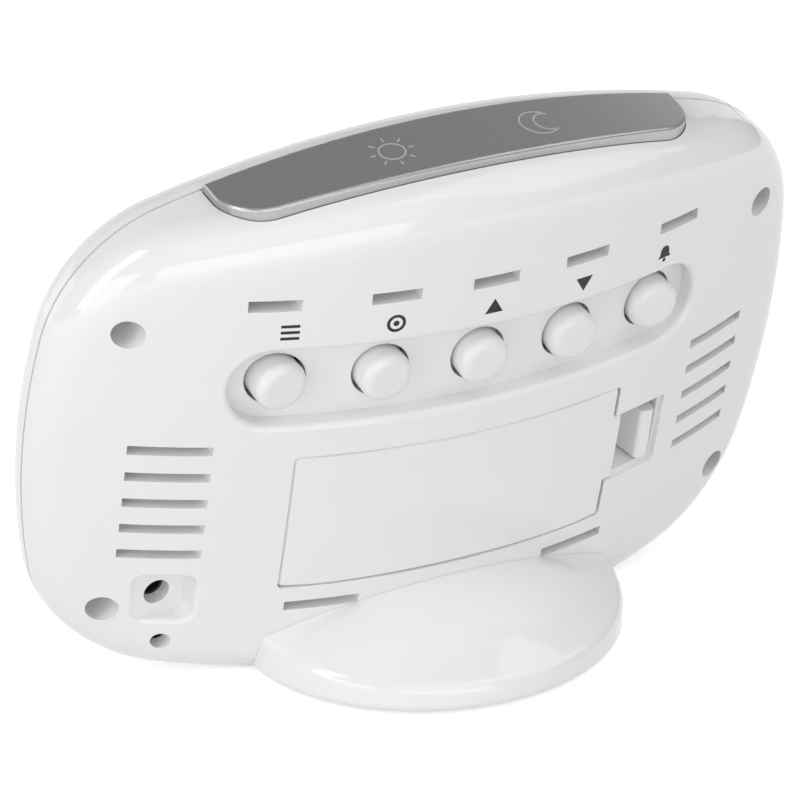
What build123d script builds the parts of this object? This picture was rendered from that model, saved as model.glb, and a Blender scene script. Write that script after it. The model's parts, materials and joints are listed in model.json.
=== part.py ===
from build123d import *

import os
from math import cos, radians, sin, sqrt

os.makedirs("parts", exist_ok=True)

# Stance: the body leans back on the table, with pads under it and under its foot
lean = 12.8
body_setback = 20.95
body_lift = 0.1
pad_stand = 0.5

# Clearances, and how far a cut runs past what it cuts
overrun = 12.0
seat_gap = 0.05
slide_gap = 0.3
cover_gap = 0.25
bar_gap = 0.15

# Body outline, seen square from behind, and its depth either side of the parting plane
body_width = 137.2
body_height = 93.3
top_radius = 188.5
bottom_radius = 331.0
side_radius = 116.0
side_crest = 46.9
upper_corner = 25.6
lower_corner = 25.0
back_depth = 22.7
back_radius = 134.0
crest_radius = 496.0
crest_height = 50.0
shoulder_radius = 8.2
front_depth = 6.4
front_edge_radius = 5.3
wall = 2.4
groove_width = 0.4
groove_depth = 0.6

# Housing screws in their wells
screw_spread = 56.85
screw_low = 18.0
screw_high = 71.4
well_bore = 4.9
well_wall = 1.7
well_end = 0.3
well_floor = 1.2
screw_hole = 2.9
screw_pilot = 2.1
screw_head = 4.4
screw_head_height = 1.8
screw_length = 5.0
screw_cross = 2.6
screw_cross_width = 0.8
screw_cross_depth = 0.9
boss_size = 7.0

# Button tray and its five buttons
tray_length = 83.6
tray_width = 14.15
tray_height = 61.3
tray_depth = 3.3
tray_rim_radius = 0.9
button_pitch = 16.75
button_size = 8.6
button_gap = 0.5
button_proud = 3.2
button_edge = 1.6
button_flange = 10.8
button_flange_height = 1.0
button_stem = 3.4

# Button board behind the tray, its switches and its screws
key_board_length = 82.0
key_board_width = 11.0
key_board_corner = 1.0
board_thickness = 1.6
key_board_face = 5.6
switch_size = 6.0
switch_height = 3.5
switch_bore_depth = 1.6
plunger_size = 2.6
plunger_rise = 0.6
key_boss = 4.4
key_screw_head = 3.4
key_screw_head_height = 1.3
key_screw_length = 5.0
key_screw_pilot = 1.4

# Slots through the back, and the thicker wall round each
slot_root = 4.0
slot_depth = 3.4
slot_border = 1.2
top_slot_length = 8.2
top_slot_width = 2.0
top_slot_height = 76.8
top_slot_inner = 16.94
top_slot_outer = 36.0
side_slot_length = 12.5
side_slot_width = 1.7
side_slot_middle = 49.6
side_slot_first = 50.1
side_slot_pitch = 5.1
side_slot_count = 5
low_slot_length = 12.4
low_slot_width = 1.8
low_slot_middle = 23.1
low_slot_height = 18.0

# Battery compartment for two AAA cells, its cover and its latch
cell_size = 10.5
cell_length = 44.5
cell_nub = 3.8
cell_nub_height = 1.0
cell_pitch = 10.7
cell_depth = 12.6
cell_gap = 0.25
cover_left = -30.6
cover_right = 27.9
cover_bottom = 22.1
cover_top = 48.1
cover_corner = 0.7
cover_thickness = 1.6
cover_bevel = 0.45
ledge_gap = 0.2
bay_wall = 1.4
contact_thickness = 0.5
contact_dome = 2.0
contact_dome_size = 4.0
contact_width = 9.0
contact_low = 8.0
contact_high = 15.2
lead_size = 1.0
tab_width = 5.0
tab_spread = 6.2
tab_reach = 1.2
tab_thickness = 1.2
tab_root = 2.0
tab_cover = 2.2
latch_low = 30.2
latch_width = 9.4
latch_strip_width = 11.8
latch_wall = 1.2
latch_bend = 12.6
latch_bend_radius = 2.3
latch_mouth = 35.0
latch_head_width = 2.6
latch_head_height = 2.8
latch_head_top = 16.9
latch_head_edge = 0.8
latch_space = 0.4
pocket_right = 38.9
pocket_bottom = 28.9
pocket_top = 42.4
pocket_floor = 7.6
pocket_sink = 0.9

# Adapter inlet in its square pocket, and the reset hole under it
inlet_x = -47.9
inlet_y = 20.4
inlet_width = 9.3
inlet_corner = 2.0
inlet_rim_radius = 0.7
inlet_floor = 10.6
plug_x = -48.3
plug_hole = 4.5
inlet_bore = 3.7
jack_width = 8.4
jack_bore_depth = 6.3
jack_pin = 1.3
reset_x = -47.7
reset_y = 11.5
reset_hole = 3.1
reset_width = 4.5
reset_height = 3.8
reset_plunger_size = 2.0
reset_rise = 1.6
reset_travel = 0.3

# Snooze bar along the top
bar_length = 83.0
bar_front = 0.6
bar_rear = 14.5
bar_rear_radius = 260.0
bar_corner = 8.5
bar_proud = 1.5
bar_sunk = 1.7
bar_edge = 0.6
bar_travel = 1.0
pocket_spare = 0.2
pocket_wall = 1.8
bar_post_spread = 28.0
bar_post_depth = 6.0
bar_post_size = 2.8
bar_post_reach = 1.2
clip_size = 6.0
clip_thickness = 0.6
clip_gap = 0.1
stem_size = 3.4
stem_depth = 3.2
snooze_switch_height = 6.0

# Display, from the front backwards
lens_inset = 12.0
lens_recess = 1.5
lens_thickness = 1.3
lens_tape_width = 3.0
window_width = 92.0
window_height = 48.0
window_corner = 3.0
display_middle = 47.0
glass_width = 98.0
glass_height = 54.0
glass_thickness = 0.7
glass_ledge = 4.0
film_thickness = 0.2
guide_width = 94.0
guide_thickness = 1.8
holder_gap = 0.3
holder_wall = 2.2
zebra_length = 88.0
zebra_width = 2.6
led_width = 1.6
led_length = 3.5
led_height = 1.9

# Main board and what stands on it
board_face = 1.1
board_width = 104.0
board_bottom = 8.0
board_top = 82.5
board_corner = 4.0
board_screw_spread = 40.0
board_screw_low = 12.5
board_screw_high = 79.5
board_boss = 5.0
blob_size = 12.0
blob_height = 2.0
blob_x = 15.0
blob_y = 32.0
crystal_size = 3.0
crystal_length = 8.0
crystal_x = -16.0
crystal_y = 30.0
can_size = 6.3
can_height = 7.0
can_x = -40.0
can_low = 36.0
can_pitch = 8.5
buzzer_x = 43.0
buzzer_y = 40.0
buzzer_size = 16.0
buzzer_height = 4.8
buzzer_wall = 0.8
buzzer_port = 3.0
buzzer_disc_thickness = 0.4
buzzer_disc_step = 3.0
link_pins = 6
link_pitch = 2.54
link_pin = 0.64
link_base = 2.5
link_y = 58.0

# Foot: an oval disc under a low dome, cut to the back of the body
foot_width = 64.6
foot_depth = 60.0
foot_centre = 17.1
foot_dome = 70.0
foot_dome_centre = 8.6
foot_dome_drop = 53.8
foot_top_edge = 2.4
foot_low_edge = 1.6
foot_wall = 2.2
foot_screw_spread = 14.0
foot_screw_height = 11.0
foot_boss = 6.0
foot_boss_length = 9.0
foot_screw_length = 8.0
pad_size = 6.4
pad_sunk = 0.4
pad_post = 9.0
foot_pad_spread = 14.0
foot_pad_back = 38.0
front_pad_spread = 24.0
front_pad_back = 6.2

# Body frame: x to the right as seen from behind, y up the leaning back, z rearwards from the parting plane
tilt = radians(lean)
body = Plane(
    origin=(0, -body_setback, body_lift),
    x_dir=(-1, 0, 0),
    z_dir=(0, cos(tilt), -sin(tilt)),
)
rearward = Axis(body.origin, body.z_dir)
upward = Axis(body.origin, body.y_dir)
table = Plane((0, -body_setback, 0))
turning = Plane(
    origin=body.from_local_coords((0, 0, back_depth - back_radius)),
    x_dir=-body.z_dir,
    z_dir=body.x_dir,
)


def deck(height):
    # Plane square to the body's height: its own x is the body's x, its own y runs rearwards, its normal down
    return Plane(body.from_local_coords((0, height, 0)), x_dir=body.x_dir, z_dir=-body.y_dir)


def across(x, y, z, side):
    # Plane square to the body's width, facing one side: its own x runs up the back
    return Plane(body.from_local_coords((x, y, z)), x_dir=body.y_dir, z_dir=side * body.x_dir)


def back_at(x, y):
    # Depth of the back's surface behind the parting plane at a place on it
    girth = back_radius - crest_radius + sqrt(crest_radius**2 - (y - crest_height) ** 2)
    return back_depth - back_radius + sqrt(girth**2 - x**2)


def top_at(x):
    # Height of the body's upper edge at a place along it
    return body_height - top_radius + sqrt(top_radius**2 - x**2)


def on_back(edge):
    # Whether an edge lies in the surface of the back
    places = [body.to_local_coords(edge @ share) for share in (0, 0.5, 1)]
    return all(abs(p.Z - back_at(p.X, p.Y)) < seat_gap for p in places)


def save(piece, name):
    piece.part.label = name
    export_step(piece.part, f"parts/{name}.step")


def outline(inset):
    # Four large arcs, drawn in by the inset, with rounded corners
    with BuildSketch() as face:
        with Locations((0, body_height - top_radius)):
            Circle(top_radius - inset)
        with Locations((0, bottom_radius)):
            Circle(bottom_radius - inset, mode=Mode.INTERSECT)
        for side in (-1, 1):
            with Locations((side * (body_width / 2 - side_radius), side_crest)):
                Circle(side_radius - inset, mode=Mode.INTERSECT)
        fillet(face.vertices().sort_by(Axis.Y)[-2:], upper_corner - inset)
        fillet(face.vertices().sort_by(Axis.Y)[:2], lower_corner - inset)
    return face.sketch


def plate(left, right, bottom, top, corner):
    with BuildSketch() as face:
        with Locations(((left + right) / 2, (bottom + top) / 2)):
            RectangleRounded(right - left, top - bottom, corner)
    return face.sketch


def pill(length, width, height):
    with BuildSketch() as face:
        with Locations((0, height)):
            SlotOverall(length, width)
    return face.sketch


def discs(places, size):
    with BuildSketch() as face:
        with Locations(*places):
            Circle(size / 2)
    return face.sketch


def barrel(inset):
    # Solid inside the curved back: an arc up the back, turned about an upright axis far in front
    low, high = -overrun, body_height + overrun
    centre = back_radius - crest_radius

    def girth(height):
        return centre + sqrt((crest_radius - inset) ** 2 - (height - crest_height) ** 2)

    with BuildPart() as crown:
        with BuildSketch(turning):
            with BuildLine():
                Polyline((girth(low), low), (0, low), (0, high), (girth(high), high))
                ThreePointArc(
                    (girth(low), low),
                    (back_radius - inset, crest_height),
                    (girth(high), high),
                )
            make_face()
        revolve(axis=Axis(turning.origin, turning.y_dir))
    return crown.part


def envelope(inset):
    # Whole body, front and rear, drawn in by the inset, with its soft shoulder and its flat underside
    face = outline(inset)
    crown = barrel(inset)
    with BuildPart() as block:
        with BuildSketch(body.offset(inset - front_depth)):
            add(face)
        extrude(amount=front_depth + back_depth)
        add(crown, mode=Mode.INTERSECT)
        fillet(block.faces().sort_by(rearward)[-1].edges(), shoulder_radius - inset)
        fillet(block.faces().sort_by(rearward)[0].edges(), front_edge_radius - inset)
        split(bisect_by=Plane.XY.offset(pad_stand + inset), keep=Keep.TOP)
    return block.part


def slab(face, top, bottom):
    # Layer of the back under a face, between two depths below the surface
    upper, lower = barrel(top), barrel(bottom)
    with BuildPart() as layer:
        with BuildSketch(body):
            add(face)
        extrude(amount=back_depth + overrun)
        add(upper, mode=Mode.INTERSECT)
        add(lower, mode=Mode.SUBTRACT)
    return layer.part


def stand(face, start):
    # Post or block inside the rear shell, from a depth up into the thickness of the back
    crown = barrel(wall / 2)
    with BuildPart() as block:
        with BuildSketch(body.offset(start)):
            add(face)
        extrude(amount=back_depth)
        add(crown, mode=Mode.INTERSECT)
    return block.part


def sheet(face, start, end):
    # Plate square to the body's depth
    with BuildPart() as slice_:
        with BuildSketch(body.offset(start)):
            add(face)
        extrude(amount=end - start)
    return slice_.part


def bar_plan(front, grow):
    # Plan of the snooze bar: straight front, arched rear, rounded rear corners
    with BuildSketch() as face:
        with Locations((0, front)):
            Rectangle(
                bar_length + 2 * grow,
                bar_rear + grow - front,
                align=(Align.CENTER, Align.MIN),
            )
        with Locations((0, bar_rear - bar_rear_radius)):
            Circle(bar_rear_radius + grow, mode=Mode.INTERSECT)
        rear = face.vertices().sort_by(Axis.Y)[2:]
        fillet(rear.filter_by(lambda v: abs(v.X) > bar_post_spread), bar_corner + grow)
    return face.sketch


def arch(face, above, below):
    # Part of the top under a plan, between two arcs that follow the body's upper edge
    with BuildPart() as band:
        with BuildSketch(deck(body_height + overrun)):
            add(face)
        extrude(amount=body_height)
        with BuildSketch(body.offset(-overrun)):
            with Locations((0, body_height - top_radius)):
                Circle(top_radius + above)
                Circle(top_radius - below, mode=Mode.SUBTRACT)
        extrude(amount=back_depth + 2 * overrun, mode=Mode.INTERSECT)
    return band.part


# Places that several pieces share
wells = [(x, y) for x in (-screw_spread, screw_spread) for y in (screw_low, screw_high)]
board_screws = [
    (x, y)
    for x in (-board_screw_spread, board_screw_spread)
    for y in (board_screw_low, board_screw_high)
]
buttons = {
    "mode": -2 * button_pitch,
    "set": -button_pitch,
    "up": 0,
    "down": button_pitch,
    "alarm": 2 * button_pitch,
}
button_places = [(x, tray_height) for x in buttons.values()]
key_boss_places = [(x, tray_height) for x in (-1.5 * button_pitch, 1.5 * button_pitch)]
foot_screws_at = [(x, foot_screw_height) for x in (-foot_screw_spread, foot_screw_spread)]
bar_posts = [(x, bar_post_depth) for x in (-bar_post_spread, bar_post_spread)]
bay_middle = (cover_bottom + cover_top) / 2
cell_heights = (bay_middle + cell_pitch / 2, bay_middle - cell_pitch / 2)
bay_half = cell_length / 2 + contact_thickness + contact_dome
bay_centre = (cover_left + cover_right) / 2
bay_left, bay_right = bay_centre - bay_half, bay_centre + bay_half
bay_low = cell_heights[1] - cell_size / 2 - cell_gap
bay_high = cell_heights[0] + cell_size / 2 + cell_gap
bay_floor = cell_depth - cell_size / 2 - cell_gap
latch_inner_leg = cover_right + cover_gap + ledge_gap
lug_right = latch_inner_leg + latch_wall
latch_high = latch_low + latch_width
strip_high = latch_low + latch_strip_width
tab_heights = [bay_middle - tab_spread, bay_middle + tab_spread]
edge_depth = back_at(cover_left, bay_middle)
tab_floor = edge_depth - tab_cover - tab_thickness - 2 * cover_gap
pocket_depth = bar_sunk + bar_travel + pocket_spare
inner_front = wall - front_depth
window = plate(
    -window_width / 2,
    window_width / 2,
    display_middle - window_height / 2,
    display_middle + window_height / 2,
    window_corner,
)

# Blocks that both halves of the case are cut from
outer_block = envelope(0)
inner_block = envelope(wall)
seat_block = envelope(-seat_gap)
ring_outer = envelope(-groove_depth)
ring_inner = envelope(groove_depth)
with BuildPart() as groove:
    add(ring_outer)
    split(bisect_by=body.offset(-groove_width / 2), keep=Keep.TOP)
    split(bisect_by=body.offset(groove_width / 2), keep=Keep.BOTTOM)
    add(ring_inner, mode=Mode.SUBTRACT)

def slots(border):
    # Five slots over the buttons, five at either side and two above the foot
    along = (-top_slot_outer, -top_slot_inner, 0, top_slot_inner, top_slot_outer)
    heights = [side_slot_first - step * side_slot_pitch for step in range(side_slot_count)]
    sides = [(x, height) for x in (-side_slot_middle, side_slot_middle) for height in heights]
    with BuildSketch() as face:
        with Locations(*[(x, top_slot_height) for x in along]):
            Rectangle(top_slot_length + 2 * border, top_slot_width + 2 * border)
        with Locations(*sides):
            Rectangle(side_slot_length + 2 * border, side_slot_width + 2 * border)
        with Locations((-low_slot_middle, low_slot_height), (low_slot_middle, low_slot_height)):
            Rectangle(low_slot_length + 2 * border, low_slot_width + 2 * border)
    return face.sketch


# Rear shell: what is added inside it
bay_face = plate(
    cover_left - cover_gap - bay_wall - tab_reach,
    cover_right + cover_gap + bay_wall,
    cover_bottom - cover_gap - bay_wall,
    cover_top + cover_gap + bay_wall,
    cover_corner,
)
pocket_face = plate(
    cover_right,
    pocket_right + bay_wall,
    pocket_bottom - bay_wall,
    pocket_top + bay_wall,
    cover_corner,
)
inlet_left, inlet_right = inlet_x - inlet_width / 2, inlet_x + inlet_width / 2
inlet_low, inlet_high = inlet_y - inlet_width / 2, inlet_y + inlet_width / 2
inlet_block_face = plate(
    inlet_left - bay_wall,
    inlet_right + bay_wall,
    inlet_low - bay_wall,
    inlet_high + bay_wall,
    inlet_corner + bay_wall,
)
tray_face = pill(tray_length, tray_width, tray_height)
tray_tub = slab(
    pill(tray_length + 2 * wall, tray_width + 2 * wall, tray_height),
    wall / 2,
    tray_depth + wall,
)
slot_pads = slab(slots(slot_border), wall / 2, slot_depth)
bay_block = stand(bay_face, bay_floor - bay_wall)
pocket_block = stand(pocket_face, pocket_floor - bay_wall)
inlet_block = stand(inlet_block_face, inlet_floor - wall)
well_posts = stand(discs(wells, well_bore + 2 * well_wall), well_end)
key_posts = stand(discs(key_boss_places, key_boss), key_board_face)
bar_floor = arch(bar_plan(-overrun, bar_gap + pocket_wall), -wall / 2, pocket_depth + pocket_wall)

# Rear shell: what is cut out of it
tray_cut = slab(tray_face, -overrun, tray_depth)
with BuildSketch() as cover_opening:
    add(
        plate(
            cover_left - cover_gap,
            cover_right + cover_gap,
            cover_bottom - cover_gap,
            cover_top + cover_gap,
            cover_corner + cover_gap,
        )
    )
    add(plate(cover_right - cover_corner, lug_right + cover_gap, pocket_bottom, pocket_top, cover_corner))
cover_cut = slab(cover_opening.sketch, -overrun, cover_thickness + ledge_gap)
pocket_ledge = slab(
    plate(cover_right, pocket_right, pocket_bottom, pocket_top, cover_corner),
    -overrun,
    pocket_sink,
)
bar_cut = arch(bar_plan(-overrun, bar_gap), overrun, pocket_depth)
with BuildPart() as rear_shell:
    add(outer_block)
    add(inner_block, mode=Mode.SUBTRACT)
    add(tray_tub)
    add(slot_pads)
    add(bar_floor)
    add(bay_block)
    add(pocket_block)
    add(inlet_block)
    add(well_posts)
    add(key_posts)
    split(bisect_by=body, keep=Keep.TOP)
    add(outer_block, mode=Mode.INTERSECT)
    add(groove.part, mode=Mode.SUBTRACT)
    add(tray_cut, mode=Mode.SUBTRACT)
    fillet(rear_shell.edges(Select.LAST).filter_by(on_back), tray_rim_radius)
    with BuildSketch(body.offset(inlet_floor)):
        add(plate(inlet_left, inlet_right, inlet_low, inlet_high, inlet_corner))
    extrude(amount=back_depth, mode=Mode.SUBTRACT)
    fillet(rear_shell.edges(Select.LAST).filter_by(on_back), inlet_rim_radius)
    add(cover_cut, mode=Mode.SUBTRACT)
    add(pocket_ledge, mode=Mode.SUBTRACT)
    add(bar_cut, mode=Mode.SUBTRACT)
    with BuildSketch(body.offset(slot_root)):
        add(slots(0))
    extrude(amount=back_depth, mode=Mode.SUBTRACT)
    with BuildSketch(body.offset(key_board_face + board_thickness)):
        with Locations(*button_places):
            Circle(button_size / 2 + button_gap)
    extrude(amount=back_depth, mode=Mode.SUBTRACT)
    with BuildSketch(body.offset(key_board_face)):
        with Locations(*key_boss_places):
            Circle(key_screw_pilot / 2)
    extrude(amount=key_screw_length, mode=Mode.SUBTRACT)
    with BuildSketch(body.offset(well_end + well_floor)):
        with Locations(*wells):
            Circle(well_bore / 2)
    extrude(amount=back_depth, mode=Mode.SUBTRACT)
    with BuildSketch(body):
        with Locations(*wells):
            Circle(screw_hole / 2)
    extrude(amount=back_depth, mode=Mode.SUBTRACT)
    with BuildSketch(body.offset(bay_floor)):
        add(plate(bay_left, bay_right, bay_low, bay_high, ledge_gap))
    extrude(amount=back_depth, mode=Mode.SUBTRACT)
    with BuildSketch(body.offset(pocket_floor)):
        add(
            plate(
                cover_right + cover_gap,
                latch_mouth + latch_head_width + latch_space,
                latch_low - latch_space,
                pocket_top,
                latch_space,
            )
        )
    extrude(amount=back_depth, mode=Mode.SUBTRACT)
    with BuildSketch(body.offset(tab_floor)):
        for height in tab_heights:
            with Locations((cover_left - cover_gap - tab_reach - cover_gap, height)):
                Rectangle(
                    bay_left - cover_left + tab_reach + 3 * cover_gap,
                    tab_width + 2 * cover_gap,
                    align=(Align.MIN, Align.CENTER),
                )
    extrude(amount=tab_thickness + 3 * cover_gap, mode=Mode.SUBTRACT)
    with BuildSketch(body.offset(tab_floor)):
        for height in tab_heights:
            with Locations((cover_left - cover_gap, height)):
                Rectangle(
                    bay_left - cover_left + 2 * cover_gap,
                    tab_width + 2 * cover_gap,
                    align=(Align.MIN, Align.CENTER),
                )
    extrude(amount=back_depth, mode=Mode.SUBTRACT)
    with BuildSketch(body.offset(bay_floor - bay_wall - overrun)):
        with Locations(*[(bay_right, height) for height in cell_heights]):
            Circle(lead_size / 2 + slide_gap)
    extrude(amount=bay_wall + 2 * overrun, mode=Mode.SUBTRACT)
    with BuildSketch(body.offset(slot_root)):
        with Locations((plug_x, inlet_y)):
            Circle(plug_hole / 2)
        with Locations((reset_x, reset_y)):
            Circle(reset_hole / 2)
    extrude(amount=back_depth, mode=Mode.SUBTRACT)
    with BuildSketch(body.offset(slot_root)):
        with Locations(*foot_screws_at):
            Circle(screw_hole / 2)
    extrude(amount=back_depth, mode=Mode.SUBTRACT)
    with BuildSketch(deck(body_height)):
        with Locations(*bar_posts):
            Circle(bar_post_size / 2 + slide_gap)
        with Locations((0, stem_depth)):
            Circle(stem_size / 2 + slide_gap)
    extrude(amount=overrun, mode=Mode.SUBTRACT)
    with BuildSketch(table.offset(pad_stand)):
        with Locations((-front_pad_spread, front_pad_back), (front_pad_spread, front_pad_back)):
            Circle(pad_size / 2)
    extrude(amount=pad_sunk, mode=Mode.SUBTRACT)
save(rear_shell, "rear_shell")

# Front bezel with its lens seat, window, and the bosses that carry the case and the board
lens_seat = outline(lens_inset)
with BuildPart() as front_bezel:
    add(outer_block)
    add(inner_block, mode=Mode.SUBTRACT)
    split(bisect_by=body, keep=Keep.BOTTOM)
    with BuildSketch(body.offset(inner_front - wall / 2)):
        with Locations(*wells):
            Circle(boss_size / 2)
    extrude(amount=well_end - inner_front + wall / 2)
    with BuildSketch(body.offset(inner_front - wall / 2)):
        with Locations(*board_screws):
            Circle(board_boss / 2)
    extrude(amount=board_face - board_thickness - inner_front + wall / 2)
    with BuildSketch(body.offset(-front_depth)):
        add(lens_seat)
    extrude(amount=lens_recess, mode=Mode.SUBTRACT)
    with BuildSketch(body.offset(-front_depth)):
        add(window)
    extrude(amount=wall, mode=Mode.SUBTRACT)
    with BuildSketch(body.offset(inner_front)):
        with Locations(*wells):
            Circle(screw_pilot / 2)
    extrude(amount=front_depth + overrun, mode=Mode.SUBTRACT)
    with BuildSketch(body.offset(inner_front)):
        with Locations(*board_screws):
            Circle(key_screw_pilot / 2)
    extrude(amount=front_depth, mode=Mode.SUBTRACT)
    add(groove.part, mode=Mode.SUBTRACT)
save(front_bezel, "front_bezel")

# Screws: a round head over a plain shank, heads towards the back or towards the front
with BuildPart() as housing_screws:
    with BuildSketch(body.offset(well_end + well_floor)):
        with Locations(*wells):
            Circle(screw_head / 2)
    extrude(amount=screw_head_height)
    with BuildSketch(body.offset(well_end + well_floor + screw_head_height)):
        with Locations(*wells):
            Rectangle(screw_cross, screw_cross_width)
            Rectangle(screw_cross_width, screw_cross)
    extrude(amount=-screw_cross_depth, mode=Mode.SUBTRACT)
    with BuildSketch(body.offset(well_end + well_floor)):
        with Locations(*wells):
            Circle(screw_pilot / 2)
    extrude(amount=-screw_length)
save(housing_screws, "housing_screws")

with BuildPart() as main_board_screws:
    with BuildSketch(body.offset(board_face)):
        with Locations(*board_screws):
            Circle(key_screw_head / 2)
    extrude(amount=key_screw_head_height)
    with BuildSketch(body.offset(board_face)):
        with Locations(*board_screws):
            Circle(key_screw_pilot / 2)
    extrude(amount=-key_screw_length)
save(main_board_screws, "main_board_screws")

with BuildPart() as button_board_screws:
    with BuildSketch(body.offset(key_board_face - board_thickness)):
        with Locations(*key_boss_places):
            Circle(key_screw_head / 2)
    extrude(amount=-key_screw_head_height)
    with BuildSketch(body.offset(key_board_face - board_thickness)):
        with Locations(*key_boss_places):
            Circle(key_screw_pilot / 2)
    extrude(amount=key_screw_length)
save(button_board_screws, "button_board_screws")

# Foot: hollow under its dome, with screw bosses and pad posts, its front cut to the back of the body
with BuildPart() as foot_core:
    with BuildSketch(table.offset(pad_stand)):
        with Locations((0, foot_centre)):
            Ellipse(foot_width / 2 - foot_wall, foot_depth / 2 - foot_wall)
    extrude(amount=foot_dome)
    with Locations(table.from_local_coords((0, foot_dome_centre, -foot_dome_drop))):
        Sphere(foot_dome - foot_wall, rotation=(90, 0, 0), mode=Mode.INTERSECT)
lining = barrel(-foot_wall)
with BuildPart() as foot_hollow:
    add(foot_core.part)
    add(lining, mode=Mode.SUBTRACT)
    with BuildSketch(body.offset(back_depth - wall)):
        with Locations(*foot_screws_at):
            Circle(foot_boss / 2)
    extrude(amount=wall + foot_boss_length, mode=Mode.SUBTRACT)
    with BuildSketch(table):
        with Locations((-foot_pad_spread, foot_pad_back), (foot_pad_spread, foot_pad_back)):
            Circle(pad_post / 2)
    extrude(amount=foot_dome, mode=Mode.SUBTRACT)
with BuildPart() as foot:
    with BuildSketch(table.offset(pad_stand)):
        with Locations((0, foot_centre)):
            Ellipse(foot_width / 2, foot_depth / 2)
    extrude(amount=foot_dome)
    with Locations(table.from_local_coords((0, foot_dome_centre, -foot_dome_drop))):
        Sphere(foot_dome, rotation=(90, 0, 0), mode=Mode.INTERSECT)
    fillet(foot.edges().sort_by(Axis.Z)[-1], foot_top_edge)
    fillet(foot.edges().sort_by(Axis.Z)[0], foot_low_edge)
    split(bisect_by=body.offset(back_depth / 2), keep=Keep.TOP)
    add(seat_block, mode=Mode.SUBTRACT)
    add(foot_hollow.part, mode=Mode.SUBTRACT)
    with BuildSketch(body.offset(back_depth - wall)):
        with Locations(*foot_screws_at):
            Circle(screw_pilot / 2)
    extrude(amount=foot_boss_length, mode=Mode.SUBTRACT)
    with BuildSketch(table.offset(pad_stand)):
        with Locations((-foot_pad_spread, foot_pad_back), (foot_pad_spread, foot_pad_back)):
            Circle(pad_size / 2)
    extrude(amount=pad_sunk, mode=Mode.SUBTRACT)
save(foot, "foot")

with BuildPart() as foot_screws:
    seat = back_at(foot_screw_spread, foot_screw_height) - wall - slide_gap
    with BuildSketch(body.offset(seat)):
        with Locations(*foot_screws_at):
            Circle(screw_head / 2)
    extrude(amount=-screw_head_height)
    with BuildSketch(body.offset(seat)):
        with Locations(*foot_screws_at):
            Circle(screw_pilot / 2)
    extrude(amount=foot_screw_length)
save(foot_screws, "foot_screws")

with BuildPart() as foot_pads:
    with BuildSketch(table):
        with Locations((-foot_pad_spread, foot_pad_back), (foot_pad_spread, foot_pad_back)):
            Circle(pad_size / 2)
    extrude(amount=pad_stand + pad_sunk)
save(foot_pads, "foot_pads")

with BuildPart() as front_pads:
    with BuildSketch(table):
        with Locations((-front_pad_spread, front_pad_back), (front_pad_spread, front_pad_back)):
            Circle(pad_size / 2)
    extrude(amount=pad_stand + pad_sunk)
save(front_pads, "front_pads")

# Display stack
lens_back = lens_thickness - front_depth + seat_gap
lens_face = outline(lens_inset + seat_gap)
tape_hole = outline(lens_inset + lens_tape_width)
with BuildPart() as display_lens:
    with BuildSketch(body.offset(lens_back - lens_thickness)):
        add(lens_face)
    extrude(amount=lens_thickness)
    fillet(display_lens.faces().sort_by(rearward)[0].edges(), groove_width / 2)
save(display_lens, "display_lens")

with BuildPart() as lens_tape:
    with BuildSketch(body.offset(lens_back)):
        add(lens_face)
        add(tape_hole, mode=Mode.SUBTRACT)
    extrude(amount=lens_recess - front_depth - lens_back)
save(lens_tape, "lens_tape")

glass_left, glass_right = -glass_width / 2, glass_width / 2
glass_low = display_middle - glass_height / 2
glass_high = display_middle + glass_height / 2
glass_front = inner_front + seat_gap
front_glass_back = glass_front + glass_thickness
rear_glass_back = front_glass_back + glass_thickness
film_back = rear_glass_back + film_thickness
guide_back = film_back + guide_thickness
board_front = board_face - board_thickness
with BuildPart() as lcd_front_glass:
    add(
        sheet(
            plate(glass_left, glass_right, glass_low, glass_high, ledge_gap),
            glass_front,
            front_glass_back,
        )
    )
save(lcd_front_glass, "lcd_front_glass")

with BuildPart() as lcd_rear_glass:
    add(
        sheet(
            plate(glass_left, glass_right, glass_low + glass_ledge, glass_high, ledge_gap),
            front_glass_back,
            rear_glass_back,
        )
    )
save(lcd_rear_glass, "lcd_rear_glass")

with BuildPart() as rear_polarizer:
    add(
        sheet(
            plate(
                -guide_width / 2,
                guide_width / 2,
                glass_low + glass_ledge + holder_gap,
                glass_high - holder_gap,
                ledge_gap,
            ),
            rear_glass_back,
            film_back,
        )
    )
save(rear_polarizer, "rear_polarizer")

with BuildPart() as light_guide:
    add(
        sheet(
            plate(
                -guide_width / 2,
                guide_width / 2,
                glass_low + glass_ledge + holder_gap,
                glass_high - holder_gap,
                ledge_gap,
            ),
            film_back,
            guide_back,
        )
    )
save(light_guide, "light_guide")

with BuildPart() as backlight_leds:
    with BuildSketch(body.offset(board_front)):
        for side in (-1, 1):
            with Locations((side * (guide_width / 2 + holder_gap + led_width / 2), display_middle)):
                Rectangle(led_width, led_length)
    extrude(amount=-led_height)
save(backlight_leds, "backlight_leds")

with BuildPart() as lcd_holder:
    with BuildSketch(body.offset(inner_front)):
        with Locations((0, display_middle)):
            RectangleRounded(
                glass_width + 2 * (holder_gap + holder_wall),
                glass_height + 2 * (holder_gap + holder_wall),
                holder_wall,
            )
            Rectangle(
                glass_width + 2 * holder_gap,
                glass_height + 2 * holder_gap,
                mode=Mode.SUBTRACT,
            )
    extrude(amount=board_front - inner_front)
save(lcd_holder, "lcd_holder")

with BuildPart() as zebra_strip:
    with BuildSketch(body.offset(front_glass_back)):
        with Locations((0, glass_low + glass_ledge / 2)):
            Rectangle(zebra_length, zebra_width)
    extrude(amount=board_front - front_glass_back)
save(zebra_strip, "zebra_strip")

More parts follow.
